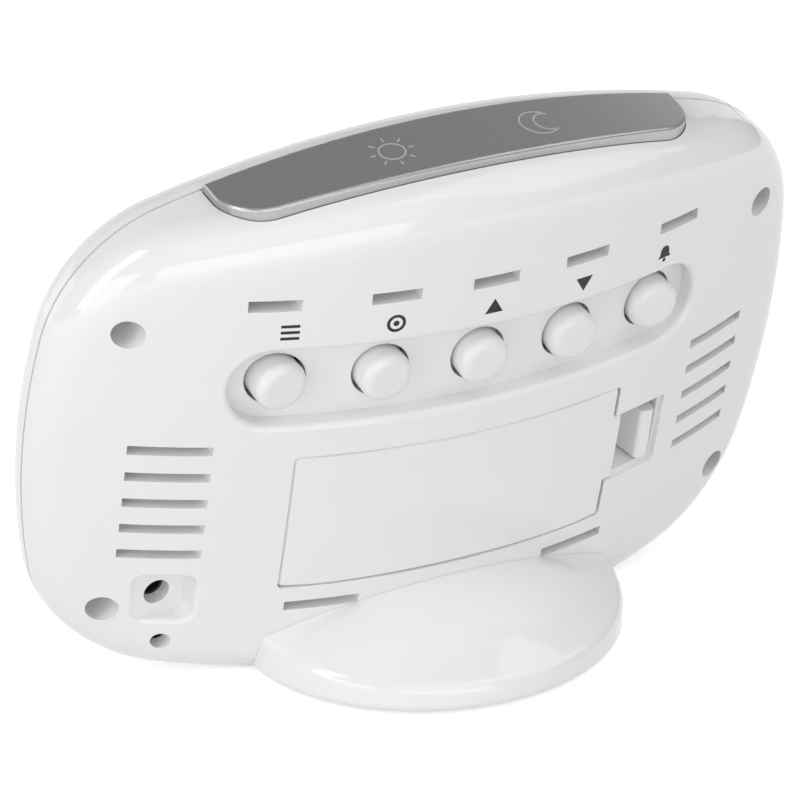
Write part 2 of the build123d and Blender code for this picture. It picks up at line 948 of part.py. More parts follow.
# Main board and its parts
with BuildPart() as main_board:
    add(
        sheet(
            plate(-board_width / 2, board_width / 2, board_bottom, board_top, board_corner),
            board_front,
            board_face,
        )
    )
    with BuildSketch(body.offset(board_front)):
        with Locations(*board_screws):
            Circle(key_screw_pilot / 2)
    extrude(amount=board_thickness, mode=Mode.SUBTRACT)
save(main_board, "main_board")

with BuildPart() as controller_blob:
    with BuildSketch(body.offset(board_face)):
        with Locations((blob_x, blob_y)):
            Circle(blob_size / 2)
    extrude(amount=blob_height)
    fillet(controller_blob.faces().sort_by(rearward)[-1].edges(), blob_height / 2)
save(controller_blob, "controller_blob")

with BuildPart() as quartz_crystal:
    with BuildSketch(across(crystal_x, crystal_y, board_face, 1)):
        with Locations((0, crystal_size / 2)):
            Circle(crystal_size / 2)
    extrude(amount=crystal_length)
save(quartz_crystal, "quartz_crystal")

with BuildPart() as supply_capacitors:
    with BuildSketch(body.offset(board_face)):
        with Locations((can_x, can_low), (can_x, can_low + can_pitch)):
            Circle(can_size / 2)
    extrude(amount=can_height)
save(supply_capacitors, "supply_capacitors")

with BuildPart() as buzzer_case:
    with BuildSketch(body.offset(board_face)):
        with Locations((buzzer_x, buzzer_y)):
            Circle(buzzer_size / 2)
    extrude(amount=buzzer_height)
    with BuildSketch(body.offset(board_face)):
        with Locations((buzzer_x, buzzer_y)):
            Circle(buzzer_size / 2 - 2 * buzzer_wall)
    extrude(amount=buzzer_height - buzzer_wall, mode=Mode.SUBTRACT)
    with BuildSketch(body.offset(board_face + buzzer_disc_step)):
        with Locations((buzzer_x, buzzer_y)):
            Circle(buzzer_size / 2 - buzzer_wall)
    extrude(amount=buzzer_disc_thickness, mode=Mode.SUBTRACT)
    with BuildSketch(body.offset(board_face)):
        with Locations((buzzer_x, buzzer_y)):
            Circle(buzzer_port / 2)
    extrude(amount=buzzer_height, mode=Mode.SUBTRACT)
save(buzzer_case, "buzzer_case")

with BuildPart() as buzzer_disc:
    with BuildSketch(body.offset(board_face + buzzer_disc_step)):
        with Locations((buzzer_x, buzzer_y)):
            Circle(buzzer_size / 2 - buzzer_wall)
    extrude(amount=buzzer_disc_thickness)
save(buzzer_disc, "buzzer_disc")

jack_end = inlet_floor - wall - seat_gap
with BuildPart() as dc_jack:
    with BuildSketch(body.offset(board_face)):
        with Locations((plug_x, inlet_y)):
            Rectangle(jack_width, jack_width)
    extrude(amount=jack_end - board_face)
    with BuildSketch(body.offset(jack_end)):
        with Locations((plug_x, inlet_y)):
            Circle(inlet_bore / 2)
    extrude(amount=-jack_bore_depth, mode=Mode.SUBTRACT)
save(dc_jack, "dc_jack")

with BuildPart() as dc_pin:
    with BuildSketch(body.offset(jack_end - jack_bore_depth)):
        with Locations((plug_x, inlet_y)):
            Circle(jack_pin / 2)
    extrude(amount=jack_bore_depth - jack_pin)
    fillet(dc_pin.faces().sort_by(rearward)[-1].edges(), jack_pin / 3)
save(dc_pin, "dc_pin")

with BuildPart() as reset_switch:
    with BuildSketch(body.offset(board_face)):
        with Locations((reset_x, reset_y)):
            Rectangle(reset_width, reset_width)
    extrude(amount=reset_height)
    with BuildSketch(body.offset(board_face + reset_height)):
        with Locations((reset_x, reset_y)):
            Circle(reset_plunger_size / 2 + seat_gap)
    extrude(amount=-reset_rise, mode=Mode.SUBTRACT)
save(reset_switch, "reset_switch")

with BuildPart() as reset_plunger:
    with BuildSketch(body.offset(board_face + reset_height - reset_rise + 2 * reset_travel)):
        with Locations((reset_x, reset_y)):
            Circle(reset_plunger_size / 2)
    extrude(amount=2 * reset_rise - 2 * reset_travel)
save(reset_plunger, "reset_plunger")

with BuildPart() as board_link:
    with BuildSketch(body.offset(board_face)):
        with Locations((0, link_y)):
            Rectangle(link_pins * link_pitch, link_pitch)
    extrude(amount=link_base)
    with BuildSketch(body.offset(board_face)):
        with Locations((0, link_y)):
            with GridLocations(link_pitch, link_pitch, link_pins, 1):
                Rectangle(link_pin, link_pin)
    extrude(amount=key_board_face - board_thickness - board_face)
save(board_link, "board_link")

# Button board, its switches, and the five buttons with their plungers
key_board_left, key_board_right = -key_board_length / 2, key_board_length / 2
key_board_low = tray_height - key_board_width / 2
key_board_high = tray_height + key_board_width / 2
switch_top = key_board_face + switch_height
with BuildPart() as button_board:
    add(
        sheet(
            plate(key_board_left, key_board_right, key_board_low, key_board_high, key_board_corner),
            key_board_face - board_thickness,
            key_board_face,
        )
    )
    with BuildSketch(body.offset(key_board_face - board_thickness)):
        with Locations(*key_boss_places):
            Circle(key_screw_pilot / 2)
    extrude(amount=board_thickness, mode=Mode.SUBTRACT)
save(button_board, "button_board")

with BuildPart() as key_switches:
    with BuildSketch(body.offset(key_board_face)):
        with Locations(*button_places):
            Rectangle(switch_size, switch_size)
    extrude(amount=switch_height)
    with BuildSketch(body.offset(switch_top)):
        with Locations(*button_places):
            Circle(plunger_size / 2 + seat_gap)
    extrude(amount=-switch_bore_depth, mode=Mode.SUBTRACT)
save(key_switches, "key_switches")

for name, x in buttons.items():
    floor = back_at(x, tray_height) - tray_depth
    ledge = back_at(abs(x) + button_flange / 2 + slide_gap, tray_height) - tray_depth - wall
    flange_top = ledge - slide_gap
    with BuildPart() as button:
        with BuildSketch(body.offset(flange_top - button_flange_height)):
            with Locations((x, tray_height)):
                Circle(button_flange / 2)
        extrude(amount=button_flange_height)
        with BuildSketch(body.offset(flange_top)):
            with Locations((x, tray_height)):
                Circle(button_size / 2)
        extrude(amount=floor + button_proud - flange_top)
        fillet(button.faces().sort_by(rearward)[-1].edges(), button_edge)
        with BuildSketch(body.offset(switch_top + plunger_rise)):
            with Locations((x, tray_height)):
                Circle(button_stem / 2)
        extrude(amount=flange_top - switch_top - plunger_rise)
    save(button, f"{name}_button")
    with BuildPart() as plunger:
        with BuildSketch(body.offset(switch_top - switch_bore_depth + plunger_rise + seat_gap)):
            with Locations((x, tray_height)):
                Circle(plunger_size / 2)
        extrude(amount=switch_bore_depth - seat_gap)
    save(plunger, f"{name}_plunger")

# Snooze bar with its stem and guide posts, the clips on the posts, and its switch
bar_body = arch(bar_plan(bar_front, 0), bar_proud, bar_sunk)
clip_top = top_at(bar_post_spread + clip_size / 2) - pocket_depth - pocket_wall - clip_gap
snooze_top = board_top + plunger_rise
snooze_rise = bar_travel + pocket_spare
bar_under = body_height - bar_sunk
with BuildPart() as snooze_bar:
    add(bar_body)
    fillet(snooze_bar.faces().sort_by(upward)[-1].edges(), bar_edge)
    with BuildSketch(deck(bar_under + bar_sunk / 2)):
        with Locations((0, stem_depth)):
            Circle(stem_size / 2)
    extrude(amount=bar_under + bar_sunk / 2 - snooze_top - snooze_rise)
    with BuildSketch(deck(top_at(bar_post_spread))):
        with Locations(*bar_posts):
            Circle(bar_post_size / 2)
    extrude(amount=top_at(bar_post_spread) - clip_top + clip_thickness + bar_post_reach)
save(snooze_bar, "snooze_bar")

with BuildPart() as bar_clips:
    with BuildSketch(deck(clip_top)):
        with Locations(*bar_posts):
            Circle(clip_size / 2)
        with Locations(*bar_posts):
            Circle(bar_post_size / 2, mode=Mode.SUBTRACT)
    extrude(amount=clip_thickness)
save(bar_clips, "bar_clips")

with BuildPart() as snooze_switch:
    with BuildSketch(body.offset(board_face)):
        with Locations((0, snooze_top)):
            Rectangle(switch_size, switch_size, align=(Align.CENTER, Align.MAX))
    extrude(amount=snooze_switch_height)
    with BuildSketch(deck(snooze_top)):
        with Locations((0, stem_depth)):
            Circle(plunger_size / 2 + seat_gap)
    extrude(amount=switch_bore_depth + snooze_rise, mode=Mode.SUBTRACT)
save(snooze_switch, "snooze_switch")

with BuildPart() as snooze_plunger:
    with BuildSketch(deck(snooze_top + snooze_rise)):
        with Locations((0, stem_depth)):
            Circle(plunger_size / 2)
    extrude(amount=snooze_rise + switch_bore_depth - seat_gap)
save(snooze_plunger, "snooze_plunger")

# Cells, contacts and leads in the battery compartment
def cell(height, nub_side):
    # Cell lying across the body, its nub towards one side
    end = bay_centre - nub_side * cell_length / 2
    with BuildPart() as piece:
        with BuildSketch(across(end, height, cell_depth, nub_side)):
            Circle(cell_size / 2)
        extrude(amount=cell_length - cell_nub_height)
        fillet(piece.edges(), cell_nub_height / 2)
        with BuildSketch(across(end, height, cell_depth, nub_side)):
            Circle(cell_nub / 2)
        extrude(amount=cell_length)
    return piece


def contact(heights, side):
    # Spring plate at one end of the compartment, with a pressed dome for each cell
    outer = bay_centre + side * bay_half
    with BuildPart() as piece:
        with BuildSketch(across(outer, 0, 0, -side)) as flat:
            for height in heights:
                middle = (contact_low + contact_high) / 2
                place = flat.workplanes[0].to_local_coords(body.from_local_coords((outer, height, middle)))
                with Locations((place.X, place.Y)):
                    Rectangle(contact_width, contact_high - contact_low)
            if len(heights) > 1:
                make_hull()
        extrude(amount=contact_thickness)
        for height in heights:
            with BuildSketch(across(outer, height, cell_depth, -side)):
                Circle(contact_dome_size / 2)
            extrude(amount=contact_thickness + contact_dome)
    return piece


upper_cell = cell(cell_heights[0], 1)
save(upper_cell, "upper_cell")
lower_cell = cell(cell_heights[1], -1)
save(lower_cell, "lower_cell")
bridge_contact = contact(cell_heights, -1)
save(bridge_contact, "bridge_contact")
positive_contact = contact(cell_heights[:1], 1)
save(positive_contact, "positive_contact")
negative_contact = contact(cell_heights[1:], 1)
save(negative_contact, "negative_contact")

with BuildPart() as battery_leads:
    with BuildSketch(body.offset(board_face)):
        with Locations(*[(bay_right - contact_thickness / 2, height) for height in cell_heights]):
            Circle(lead_size / 2)
    extrude(amount=contact_low - board_face)
save(battery_leads, "battery_leads")

# Battery cover: a curved plate with two tabs on the left and a U-shaped spring latch on the right
latch_axis = lug_right + latch_bend_radius
latch_root = back_at(latch_inner_leg, latch_low) - cover_thickness / 2
latch_heel = latch_axis + latch_bend_radius
latch_neck = latch_head_top - latch_head_height
latch_lean = (latch_mouth - latch_heel) / (latch_head_top - latch_bend)
neck_inner = latch_heel + latch_lean * (latch_neck - latch_bend)
tab_top = edge_depth - tab_cover
with BuildSketch() as cover_face:
    add(plate(cover_left, cover_right, cover_bottom, cover_top, cover_corner))
    add(
        plate(
            cover_right - cover_thickness,
            lug_right,
            pocket_bottom + cover_gap,
            pocket_top - cover_gap,
            cover_corner,
        )
    )
cover_plate = slab(cover_face.sketch, 0, cover_thickness)
with BuildPart() as battery_cover:
    add(cover_plate)
    chamfer(battery_cover.faces().sort_by(rearward)[-1].edges(), cover_bevel)
    with BuildSketch(body.offset(tab_top - tab_thickness)):
        with Locations(*[(cover_left - cover_gap - tab_reach, height) for height in tab_heights]):
            Rectangle(
                cover_gap + tab_reach + tab_root,
                tab_width,
                align=(Align.MIN, Align.CENTER),
            )
    extrude(amount=tab_thickness)
    with BuildSketch(body.offset(tab_top - tab_thickness)):
        with Locations(*[(cover_left + cover_gap, height) for height in tab_heights]):
            Rectangle(tab_root - cover_gap, tab_width, align=(Align.MIN, Align.CENTER))
    extrude(amount=tab_thickness + tab_cover - cover_thickness / 2)
    with BuildSketch(deck(strip_high)):
        with Locations((latch_axis, latch_bend)):
            Circle(latch_bend_radius + latch_wall)
            Circle(latch_bend_radius, mode=Mode.SUBTRACT)
            Rectangle(
                2 * (latch_bend_radius + latch_wall),
                latch_bend_radius + latch_wall,
                align=(Align.CENTER, Align.MIN),
                mode=Mode.SUBTRACT,
            )
        with Locations((latch_inner_leg, latch_bend)):
            Rectangle(latch_wall, latch_root - latch_bend, align=(Align.MIN, Align.MIN))
        Polygon(
            (latch_heel, latch_bend),
            (latch_heel + latch_wall, latch_bend),
            (neck_inner + latch_wall, latch_neck),
            (neck_inner, latch_neck),
            align=None,
        )
    extrude(amount=latch_strip_width)
    with BuildSketch(deck(latch_high)) as head:
        Polygon(
            (latch_heel, latch_bend),
            (latch_heel + latch_wall, latch_bend),
            (latch_mouth + latch_head_width, latch_neck),
            (latch_mouth + latch_head_width, latch_head_top),
            (latch_mouth, latch_head_top),
            align=None,
        )
        fillet(head.vertices().sort_by(Axis.Y)[-2:], latch_head_edge)
    extrude(amount=latch_width)
save(battery_cover, "battery_cover")
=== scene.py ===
import json
import math

import bpy
import numpy as np
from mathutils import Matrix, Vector


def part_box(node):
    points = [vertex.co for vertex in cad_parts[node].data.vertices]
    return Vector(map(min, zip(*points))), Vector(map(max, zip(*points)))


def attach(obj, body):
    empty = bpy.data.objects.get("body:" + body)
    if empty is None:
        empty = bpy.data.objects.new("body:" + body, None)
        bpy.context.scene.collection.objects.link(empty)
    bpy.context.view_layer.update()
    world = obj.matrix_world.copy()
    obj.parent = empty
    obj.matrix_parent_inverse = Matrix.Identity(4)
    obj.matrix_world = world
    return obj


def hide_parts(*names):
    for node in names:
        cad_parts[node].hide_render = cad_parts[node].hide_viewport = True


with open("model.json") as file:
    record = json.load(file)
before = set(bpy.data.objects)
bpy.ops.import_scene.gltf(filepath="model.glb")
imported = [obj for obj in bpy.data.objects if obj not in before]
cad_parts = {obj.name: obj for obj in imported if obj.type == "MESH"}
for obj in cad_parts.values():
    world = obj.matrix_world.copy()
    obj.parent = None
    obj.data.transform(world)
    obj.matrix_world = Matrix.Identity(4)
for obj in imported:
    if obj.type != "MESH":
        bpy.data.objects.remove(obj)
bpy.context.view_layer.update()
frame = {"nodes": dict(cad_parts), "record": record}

scene = bpy.context.scene
nodes = frame["nodes"]
metre = 1000.0  # in millimetres

# How the leaning body stands, and its large curves, in degrees and millimetres
clock = {
    "lean": 12.8,
    "setback": 20.95,
    "lift": 0.1,
    "backDepth": 22.7,
    "backRadius": 134.0,
    "crestRadius": 496.0,
    "crestHeight": 50.0,
    "width": 137.2,
    "topHeight": 93.3,
    "topRadius": 188.5,
    "bottomRadius": 331.0,
    "sideRadius": 116.0,
    "sideCrest": 46.9,
}
leanCos = math.cos(math.radians(clock["lean"]))
leanSin = math.sin(math.radians(clock["lean"]))


def toRow(points):
    # body millimetres (right as seen from behind, up the back, rearwards) to the frame's metres
    x, y, z = np.asarray(points, float).T
    rearward = z * leanCos + y * leanSin - clock["setback"]
    upward = y * leanCos - z * leanSin + clock["lift"]
    return np.column_stack((-x, rearward, upward)) / metre


def backDepth(x, y):
    # depth of the back: an arc up the back, turned about an upright axis far in front
    crest = np.sqrt(clock["crestRadius"] ** 2 - (y - clock["crestHeight"]) ** 2)
    girth = clock["backRadius"] - clock["crestRadius"] + crest
    return clock["backDepth"] - clock["backRadius"] + np.sqrt(girth**2 - x**2)


def linear(hexText):
    # sRGB hex to linear colour with full alpha, by the two pieces of the sRGB curve
    srgb = np.array([int(hexText[i:i + 2], 16) for i in (1, 3, 5)]) / 255.0
    low = srgb / 12.92
    high = ((srgb + 0.055) / 1.055) ** 2.4
    return (*np.where(srgb <= 0.04045, low, high).tolist(), 1.0)


def addNode(tree, kind, inputs=None, **settings):
    # one node: settings are its own properties, inputs are numbers, colours or sockets to link
    node = tree.nodes.new(kind)
    for name, value in settings.items():
        setattr(node, name, value)
    for name, value in (inputs or {}).items():
        socket = node.inputs[name]
        if isinstance(value, bpy.types.NodeSocket):
            tree.links.new(value, socket)
        else:
            socket.default_value = value
    return node


def newMaterial(name):
    # an empty node tree, and the object's own coordinates to lay patterns on
    made = bpy.data.materials.new(name)
    made.use_nodes = True
    tree = made.node_tree
    tree.nodes.clear()
    return made, tree, addNode(tree, "ShaderNodeTexCoord").outputs["Object"]


def perMetre(millimetres):
    # pattern scale for features of about this size, Object coordinates being metres
    return metre / millimetres


def endMaterial(tree, shader):
    addNode(tree, "ShaderNodeOutputMaterial", {"Surface": shader.outputs[0]})


noiseSpan = {"From Min": 0.3, "From Max": 0.7}  # where most of a noise texture's values lie
glossSpread = {"moulded": 0.15, "plated": 0.2, "flake": 0.2, "clear": 0.4}  # shares of the roughness


def about(mean, share):
    # range of a map that goes a share under and over its mean
    return {"To Min": mean * (1 - share), "To Max": mean * (1 + share)}


def mouldedPlastic(name, look):
    # moulded, cast or cut: faint clouds in the colour, a fine skin in the gloss and the bump
    made, tree, place = newMaterial(name)
    clouds = addNode(tree, "ShaderNodeTexNoise", {
        "Vector": place, "Scale": perMetre(look["cloudMm"]), "Detail": 3.0})
    colour = addNode(tree, "ShaderNodeMix", {
        "Factor": clouds.outputs["Fac"], "A": linear(look["dark"]), "B": linear(look["light"])},
        data_type="RGBA")
    skin = addNode(tree, "ShaderNodeTexNoise", {
        "Vector": place, "Scale": perMetre(look["skinMm"]), "Detail": 2.0})
    gloss = addNode(tree, "ShaderNodeMapRange", {
        "Value": skin.outputs["Fac"], **noiseSpan, **about(look["rough"], glossSpread["moulded"])})
    bump = addNode(tree, "ShaderNodeBump", {
        "Height": skin.outputs["Fac"], "Strength": look["bump"], "Distance": look["bumpMm"] / metre})
    shader = addNode(tree, "ShaderNodeBsdfPrincipled", {
        "Base Color": colour.outputs["Result"], "Roughness": gloss.outputs["Result"],
        "Normal": bump.outputs["Normal"], "IOR": look["ior"]})
    endMaterial(tree, shader)
    return made


def platedMetal(name, look):
    # plated, drawn or rolled metal: grain drawn out along one axis breaks the reflection into fine lines
    made, tree, place = newMaterial(name)
    drawn = addNode(tree, "ShaderNodeMapping", {"Vector": place, "Scale": look["stretch"]})
    grain = addNode(tree, "ShaderNodeTexNoise", {
        "Vector": drawn.outputs["Vector"], "Scale": perMetre(look["grainMm"]), "Detail": 3.0})
    colour = addNode(tree, "ShaderNodeMix", {
        "Factor": grain.outputs["Fac"], "A": linear(look["dark"]), "B": linear(look["light"])},
        data_type="RGBA")
    gloss = addNode(tree, "ShaderNodeMapRange", {
        "Value": grain.outputs["Fac"], **noiseSpan, **about(look["rough"], glossSpread["plated"])})
    bump = addNode(tree, "ShaderNodeBump", {
        "Height": grain.outputs["Fac"], "Strength": look["bump"], "Distance": look["bumpMm"] / metre})
    shader = addNode(tree, "ShaderNodeBsdfPrincipled", {
        "Base Color": colour.outputs["Result"], "Roughness": gloss.outputs["Result"],
        "Normal": bump.outputs["Normal"], "Metallic": 1.0})
    endMaterial(tree, shader)
    return made


def flakePaint(name, look):
    # sprayed metallic paint: flakes at their own angles sparkle under a satin clear coat
    made, tree, place = newMaterial(name)
    flakes = addNode(tree, "ShaderNodeTexVoronoi", {
        "Vector": place, "Scale": perMetre(look["flakeMm"])}, feature="F1")
    tone = addNode(tree, "ShaderNodeSeparateColor", {"Color": flakes.outputs["Color"]})
    mist = addNode(tree, "ShaderNodeTexNoise", {
        "Vector": place, "Scale": perMetre(look["mistMm"]), "Detail": 4.0})
    mixed = addNode(tree, "ShaderNodeMix", {
        0: look["mistShare"], 2: tone.outputs["Red"], 3: mist.outputs["Fac"]})
    colour = addNode(tree, "ShaderNodeMix", {
        "Factor": mixed.outputs[0], "A": linear(look["dark"]), "B": linear(look["light"])},
        data_type="RGBA")
    gloss = addNode(tree, "ShaderNodeMapRange", {
        "Value": tone.outputs["Green"], **about(look["rough"], glossSpread["flake"])})
    bump = addNode(tree, "ShaderNodeBump", {
        "Height": tone.outputs["Blue"], "Strength": look["bump"],
        "Distance": look["flakeMm"] * look["tiltShare"] / metre})
    shader = addNode(tree, "ShaderNodeBsdfPrincipled", {
        "Base Color": colour.outputs["Result"], "Roughness": gloss.outputs["Result"],
        "Normal": bump.outputs["Normal"], "Metallic": look["metallic"],
        "Coat Weight": look["coat"], "Coat Roughness": look["coatRough"]})
    endMaterial(tree, shader)
    return made


def clearSheet(name, look):
    # polished clear acrylic: almost no colour of its own, a faint haze in the polish
    made, tree, place = newMaterial(name)
    haze = addNode(tree, "ShaderNodeTexNoise", {
        "Vector": place, "Scale": perMetre(look["hazeMm"]), "Detail": 2.0})
    gloss = addNode(tree, "ShaderNodeMapRange", {
        "Value": haze.outputs["Fac"], **about(look["rough"], glossSpread["clear"])})
    shader = addNode(tree, "ShaderNodeBsdfPrincipled", {
        "Base Color": linear(look["colour"]), "Roughness": gloss.outputs["Result"],
        "IOR": look["ior"], "Transmission Weight": look["transmission"]})
    endMaterial(tree, shader)
    return made


def laminate(name, look):
    # glass cloth under green solder mask: the weave shows as a fine check in tone and height
    made, tree, place = newMaterial(name)
    weave = addNode(tree, "ShaderNodeTexChecker", {
        "Vector": place, "Scale": perMetre(look["threadMm"]),
        "Color1": linear(look["dark"]), "Color2": linear(look["light"])})
    clouds = addNode(tree, "ShaderNodeTexNoise", {"Vector": place, "Scale": perMetre(look["cloudMm"])})
    gloss = addNode(tree, "ShaderNodeMapRange", {
        "Value": clouds.outputs["Fac"], "To Min": look["roughLow"], "To Max": look["roughHigh"]})
    bump = addNode(tree, "ShaderNodeBump", {
        "Height": weave.outputs["Fac"], "Strength": look["bump"], "Distance": look["bumpMm"] / metre})
    shader = addNode(tree, "ShaderNodeBsdfPrincipled", {
        "Base Color": weave.outputs["Color"], "Roughness": gloss.outputs["Result"],
        "Normal": bump.outputs["Normal"], "IOR": look["ior"]})
    endMaterial(tree, shader)
    return made


def cellWrap(name, look):
    # printed shrink sleeve on a drawn can: bands along the cell, bare metal at both ends
    made, tree, place = newMaterial(name)
    along = addNode(tree, "ShaderNodeSeparateXYZ", {"Vector": place})
    share = addNode(tree, "ShaderNodeMapRange", {
        "Value": along.outputs["X"], "From Min": look["start"], "From Max": look["end"]})
    bands = addNode(tree, "ShaderNodeValToRGB", {"Fac": share.outputs["Result"]})
    bands.color_ramp.interpolation = "CONSTANT"
    ramp = bands.color_ramp.elements
    for index, (position, colour) in enumerate(look["bands"]):
        stop = ramp[index] if index < len(ramp) else ramp.new(position)
        stop.position, stop.color = position, linear(colour)
    scuff = addNode(tree, "ShaderNodeTexNoise", {
        "Vector": place, "Scale": perMetre(look["scuffMm"]), "Detail": 4.0})
    gloss = addNode(tree, "ShaderNodeMapRange", {
        "Value": scuff.outputs["Fac"], "To Min": look["roughLow"], "To Max": look["roughHigh"]})
    shader = addNode(tree, "ShaderNodeBsdfPrincipled", {
        "Base Color": bands.outputs["Color"], "Roughness": gloss.outputs["Result"],
        "Metallic": look["metallic"]})
    endMaterial(tree, shader)
    return made


print("materials: making")
# flakes drawn coarser than real ones, so that they show
flakeLook = {
    "flakeMm": 0.09, "tiltShare": 0.125, "mistMm": 6.0, "mistShare": 0.2, "coat": 0.25, "coatRough": 0.18}
metalLook = {"bump": 0.15, "bumpMm": 0.02}
finishes = {
    # ABS from a polished tool: glossy white with clear, soft-edged reflections of the lamps
    "case_plastic": mouldedPlastic("whiteAbsPolishedMould", {
        "dark": "#ececec", "light": "#f0f0f0", "cloudMm": 30.0, "skinMm": 6.0,
        "rough": 0.07, "bump": 0.04, "bumpMm": 0.02, "ior": 1.53}),
    # the same ABS from a duller tool: the reflections blur into soft highlights
    "button_plastic": mouldedPlastic("whiteAbsSatinMould", {
        "dark": "#eaeaea", "light": "#eeeeee", "cloudMm": 12.0, "skinMm": 4.0,
        "rough": 0.2, "bump": 0.03, "bumpMm": 0.02, "ior": 1.53}),
    # fine flakes that read as one even grey, brighter where the edge turns to the light
    "bar_paint": flakePaint("silverFlakePaintOnAbs", {
        **flakeLook, "dark": "#aaabad", "light": "#bebfc1", "rough": 0.34, "bump": 0.2, "metallic": 0.9}),
    # polished acrylic: sharp reflections, with the display clear behind them
    "lens_acrylic": clearSheet("clearAcrylicPolished", {
        "colour": "#ffffff", "hazeMm": 10.0, "rough": 0.03, "ior": 1.49, "transmission": 1.0}),
    # die-cut foam tape: a matt black line round the lens
    "lens_tape": mouldedPlastic("blackFoamTapeDieCut", {
        "dark": "#0e0e0e", "light": "#141414", "cloudMm": 4.0, "skinMm": 0.4,
        "rough": 0.6, "bump": 0.2, "bumpMm": 0.03, "ior": 1.5}),
    # glass with its film on: one even grey-green with a soft sheen
    "display_glass": mouldedPlastic("displayGlassGreyGreen", {
        "dark": "#aeb8a6", "light": "#b4beac", "cloudMm": 40.0, "skinMm": 0.3,
        "rough": 0.2, "bump": 0.01, "bumpMm": 0.01, "ior": 1.52}),
    # stretched film: a slightly darker grey-green sheet
    "polarizer_film": mouldedPlastic("polarizerFilm", {
        "dark": "#a4ad9c", "light": "#abb4a3", "cloudMm": 30.0, "skinMm": 1.0,
        "rough": 0.3, "bump": 0.02, "bumpMm": 0.01, "ior": 1.49}),
    # frosted acrylic: milky and evenly pale
    "guide_acrylic": mouldedPlastic("frostedAcrylicGuide", {
        "dark": "#dfe6e8", "light": "#e8eef0", "cloudMm": 20.0, "skinMm": 0.6,
        "rough": 0.45, "bump": 0.15, "bumpMm": 0.03, "ior": 1.49}),
    # cast resin: small, warm and milky
    "led_resin": mouldedPlastic("milkyResin", {
        "dark": "#efe8c4", "light": "#f6f0d2", "cloudMm": 1.0, "skinMm": 0.4,
        "rough": 0.3, "bump": 0.05, "bumpMm": 0.01, "ior": 1.5}),
    # moulded polystyrene: a dull off-white with a fine grain
    "holder_plastic": mouldedPlastic("whitePolystyreneMoulded", {
        "dark": "#dcdcd8", "light": "#e4e4e0", "cloudMm": 12.0, "skinMm": 0.5,
        "rough": 0.45, "bump": 0.15, "bumpMm": 0.03, "ior": 1.59}),
    # die-cut rubber: nearly black and matt, with a rough skin
    "pad_rubber": mouldedPlastic("blackRubberDieCut", {
        "dark": "#1b1b1b", "light": "#262626", "cloudMm": 2.0, "skinMm": 0.3,
        "rough": 0.8, "bump": 0.4, "bumpMm": 0.05, "ior": 1.52}),
    # layered silicone: a dull, finely mottled pink
    "zebra_rubber": mouldedPlastic("layeredSiliconeStrip", {
        "dark": "#7d4a52", "light": "#a56a72", "cloudMm": 0.4, "skinMm": 0.2,
        "rough": 0.7, "bump": 0.2, "bumpMm": 0.03, "ior": 1.41}),
    # glass cloth in epoxy: its weave just shows through the green mask
    "board_laminate": laminate("glassEpoxySolderMask", {
        "dark": "#0e4a24", "light": "#11552a", "threadMm": 0.5, "cloudMm": 8.0,
        "roughLow": 0.25, "roughHigh": 0.45, "bump": 0.1, "bumpMm": 0.03, "ior": 1.5}),
    # poured epoxy: black with a wavy gloss
    "chip_resin": mouldedPlastic("pouredEpoxyBlob", {
        "dark": "#0b0b0b", "light": "#131313", "cloudMm": 3.0, "skinMm": 1.5,
        "rough": 0.25, "bump": 0.2, "bumpMm": 0.1, "ior": 1.55}),
    # zinc plate on steel: a slightly cloudy grey shine
    "screw_steel": platedMetal("zincPlatedSteel", {
        **metalLook, "dark": "#8d8f92", "light": "#b9bbbd", "grainMm": 0.4,
        "stretch": (1.0, 1.0, 1.0), "rough": 0.32}),
    # drawn and tinned: pale, with fine lines along the can
    "can_metal": platedMetal("drawnTinnedCan", {
        **metalLook, "dark": "#a8a9aa", "light": "#c4c5c6", "grainMm": 0.2,
        "stretch": (0.1, 1.0, 1.0), "rough": 0.28}),
    # shrink sleeve over a can: smooth and dark blue
    "capacitor_can": mouldedPlastic("sleevedCapacitorCan", {
        "dark": "#1c2348", "light": "#252d58", "cloudMm": 3.0, "skinMm": 0.6,
        "rough": 0.3, "bump": 0.06, "bumpMm": 0.02, "ior": 1.5}),
    # moulded nylon: black with a soft sheen and a fine grain
    "part_black": mouldedPlastic("blackNylonMoulded", {
        "dark": "#141414", "light": "#1d1d1d", "cloudMm": 4.0, "skinMm": 0.3,
        "rough": 0.5, "bump": 0.25, "bumpMm": 0.03, "ior": 1.53}),
    # moulded acetal: dark grey and slightly waxy
    "plunger_plastic": mouldedPlastic("greyAcetalMoulded", {
        "dark": "#2b2b2b", "light": "#353535", "cloudMm": 3.0, "skinMm": 0.3,
        "rough": 0.4, "bump": 0.1, "bumpMm": 0.02, "ior": 1.48}),
    # rolled brass: warm, with fine lines along the sheet
    "disc_brass": platedMetal("rolledBrass", {
        **metalLook, "dark": "#a98c4c", "light": "#c8ab68", "grainMm": 0.3,
        "stretch": (0.1, 1.0, 1.0), "rough": 0.25}),
    # nickel on spring steel: bright and warm grey, with faint upright lines
    "contact_nickel": platedMetal("nickelSpringSteel", {
        **metalLook, "dark": "#a9a69f", "light": "#cbc8c1", "grainMm": 0.3,
        "stretch": (1.0, 1.0, 0.15), "rough": 0.2}),
    # extruded vinyl: smooth and red
    "lead_wire": mouldedPlastic("redPvcSleeve", {
        "dark": "#8f1a14", "light": "#a3221a", "cloudMm": 3.0, "skinMm": 0.4,
        "rough": 0.4, "bump": 0.05, "bumpMm": 0.02, "ior": 1.53}),
}
